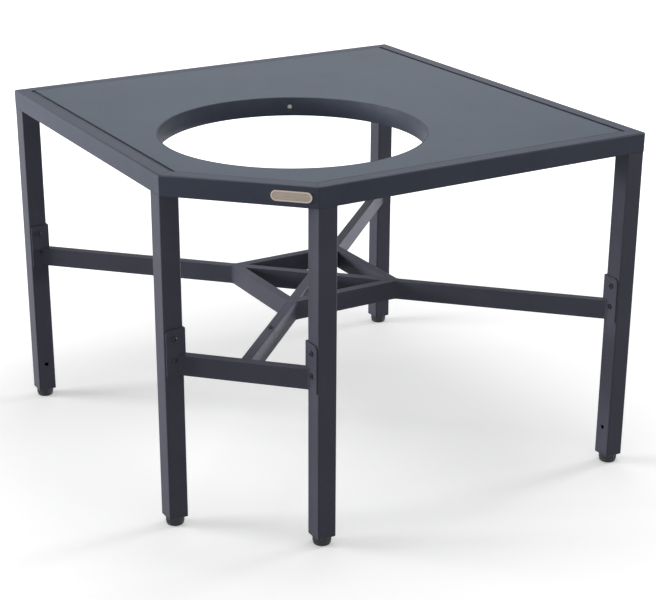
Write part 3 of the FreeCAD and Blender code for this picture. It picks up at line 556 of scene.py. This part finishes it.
plateLow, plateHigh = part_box("badge_plate")
badgeAlong, badgeOut = towards["right"], towards["front"]
plateSpots = [v.co for v in cadNodes["badge_plate"].data.vertices]
spans = [[spot.dot(axis) for spot in plateSpots] for axis in (badgeAlong, badgeOut)]
badgeWidth = (max(spans[0]) - min(spans[0])) / mm
badgeHeight = (plateHigh.z - plateLow.z) / mm
badgeMiddle = badgeAlong * ((max(spans[0]) + min(spans[0])) / 2)
badgeMiddle = badgeMiddle + upright * ((plateLow.z + plateHigh.z) / 2)
faceFloor = badgeMiddle + badgeOut * (max(spans[1]) - badge["recess"] * mm)
inset = 2 * (badge["rim"] + badge["clear"])
faceSteps = ((0.0, 0.0), (badge["face"] * badge["chamferFrom"], 0.0), (badge["face"], badge["chamfer"]))
mesh = bmesh.new()
layers = []
for lift, shrink in faceSteps:
    outline = roundedOutline(
        badgeWidth - inset - 2 * shrink, badgeHeight - inset - 2 * shrink, badge["corner"] - shrink
    )
    level = faceFloor + badgeOut * (lift * mm)
    spots = [level + badgeAlong * (x * mm) + upright * (y * mm) for x, y in outline]
    layers.append([mesh.verts.new(spot) for spot in spots])
joinRings(mesh, layers)
bmesh.ops.recalc_face_normals(mesh, faces=mesh.faces)
makePiece("badge_face", mesh, specialFinishes["badgeFace"], "table", smooth=False)
print("badge face made, left blank")

# Studio: pale paper, which carries the table's shadow and fades to white away from it
studio = {
    "floorSize": 16.0,  # m
    "floorLevel": -0.0004,
    "floorColour": "#ececec",
    "bounceColour": "#8c8c8c",  # what the paper throws back onto the table
    "floorRoughness": 0.9,
    "floorSpecular": 0.2,
    "liftNear": 0.33,  # the paper's own glow, near the table and far from it
    "liftFar": 0.95,
    "nearEdge": 0.5,  # m from the middle of the table
    "farEdge": 2.6,
    "fill": 0.22,
    "lampAim": 0.45,  # the lamps point at this height
}


def seenRays(tree):  # 1 for what the camera, a reflection or a transmission sees
    rays = addNode(tree, "ShaderNodeLightPath").outputs
    first = {0: rays["Is Camera Ray"], 1: rays["Is Glossy Ray"]}
    seen = addNode(tree, "ShaderNodeMath", {}, first, operation="MAXIMUM")
    second = {0: seen.outputs[0], 1: rays["Is Transmission Ray"]}
    return addNode(tree, "ShaderNodeMath", {}, second, operation="MAXIMUM").outputs[0]


mesh = bmesh.new()
bmesh.ops.create_grid(mesh, x_segments=1, y_segments=1, size=studio["floorSize"] / 2)
data = bpy.data.meshes.new("floor")
mesh.to_mesh(data)
mesh.free()
floor = bpy.data.objects.new("floor", data)
bpy.context.scene.collection.objects.link(floor)
floor.location.z = studio["floorLevel"]
paper = bpy.data.materials.new("palePaper")
paper.use_nodes = True
tree = paper.node_tree
shader = tree.nodes["Principled BSDF"]
shader.inputs["Roughness"].default_value = studio["floorRoughness"]
shader.inputs["Specular IOR Level"].default_value = studio["floorSpecular"]
seen = seenRays(tree)
shade = addNode(
    tree,
    "ShaderNodeMix",
    {6: linear(studio["bounceColour"]), 7: linear(studio["floorColour"])},
    {0: seen},
    data_type="RGBA",
)
tree.links.new(shade.outputs[2], shader.inputs["Base Color"])
place = addNode(tree, "ShaderNodeTexCoord")
away = addNode(tree, "ShaderNodeVectorMath", {}, {0: place.outputs["Object"]}, operation="LENGTH")
fade = addNode(
    tree,
    "ShaderNodeMapRange",
    {
        "From Min": studio["nearEdge"],
        "From Max": studio["farEdge"],
        "To Min": studio["liftNear"],
        "To Max": studio["liftFar"],
    },
    {"Value": away.outputs["Value"]},
    interpolation_type="SMOOTHSTEP",
)
lift = addNode(tree, "ShaderNodeMath", {}, {0: seen, 1: fade.outputs["Result"]}, operation="MULTIPLY")
white = {"Color": (1, 1, 1, 1)}
glow = addNode(tree, "ShaderNodeEmission", white, {"Strength": lift.outputs[0]})
both = addNode(tree, "ShaderNodeAddShader", {}, {0: shader.outputs[0], 1: glow.outputs[0]})
tree.links.new(both.outputs[0], tree.nodes["Material Output"].inputs["Surface"])
data.materials.append(paper)

# World: white where it is seen or mirrored, and a low fill for everything else
world = bpy.data.worlds.new("whiteStudio")
bpy.context.scene.world = world
world.use_nodes = True
tree = world.node_tree
tree.nodes.clear()
strength = addNode(
    tree, "ShaderNodeMapRange", {"To Min": studio["fill"], "To Max": 1.0}, {"Value": seenRays(tree)}
)
sky = addNode(tree, "ShaderNodeBackground", white, {"Strength": strength.outputs["Result"]})
addNode(tree, "ShaderNodeOutputWorld", {}, {"Surface": sky.outputs[0]})

# Soft boxes: weak ones overhead, behind and in front, and strong ones far out at both sides
# The right one is low, so that its light passes under the top
softBoxes = {
    "overhead": {"at": (0.3, -0.3, 3.4), "size": (2.0, 2.0), "power": 40},
    "behind": {"at": (1.9, 3.3, 2.7), "size": (2.6, 2.6), "power": 13},
    "leftSide": {"at": (-4.4, 2.6, 1.3), "size": (2.2, 1.2), "power": 225},
    "rightSide": {"at": (6.5, -0.3, 0.6), "size": (1.6, 0.24), "power": 405},
    "frontSide": {"at": (-0.8, -4.5, 0.6), "size": (2.4, 2.4), "power": 23},
}
for name, box in softBoxes.items():
    lamp = bpy.data.lights.new(name, "AREA")
    lamp.shape = "RECTANGLE"
    lamp.size, lamp.size_y = box["size"]
    lamp.energy = box["power"]
    holder = bpy.data.objects.new(name, lamp)
    bpy.context.scene.collection.objects.link(holder)
    holder.location = box["at"]
    beam = Vector((0, 0, studio["lampAim"])) - Vector(box["at"])
    holder.rotation_euler = beam.to_track_quat("-Z", "Y").to_euler()

# Camera: above the table top, looking down at its cut corner
view = {
    "at": (-1.615, -2.792, 1.550),
    "yaw": 60.12,
    "pitch": 20.47,
    "lens": 87.2,
    "sensor": 36,
    "shift": (0.028, -0.030),
}
lens = bpy.data.cameras.new("photoCamera")
camera = bpy.data.objects.new("photoCamera", lens)
bpy.context.scene.collection.objects.link(camera)
yaw, pitch = math.radians(view["yaw"]), math.radians(view["pitch"])
forward = Vector((math.cos(yaw) * math.cos(pitch), math.sin(yaw) * math.cos(pitch), -math.sin(pitch)))
camera.location = view["at"]
camera.rotation_euler = forward.to_track_quat("-Z", "Y").to_euler()
lens.lens = view["lens"]
lens.sensor_width = view["sensor"]
lens.sensor_fit = "HORIZONTAL"
lens.shift_x, lens.shift_y = view["shift"]
bpy.context.scene.camera = camera
bpy.context.scene.view_settings.view_transform = "Standard"
print("studio, lamps and camera set")

bpy.context.view_layer.update()
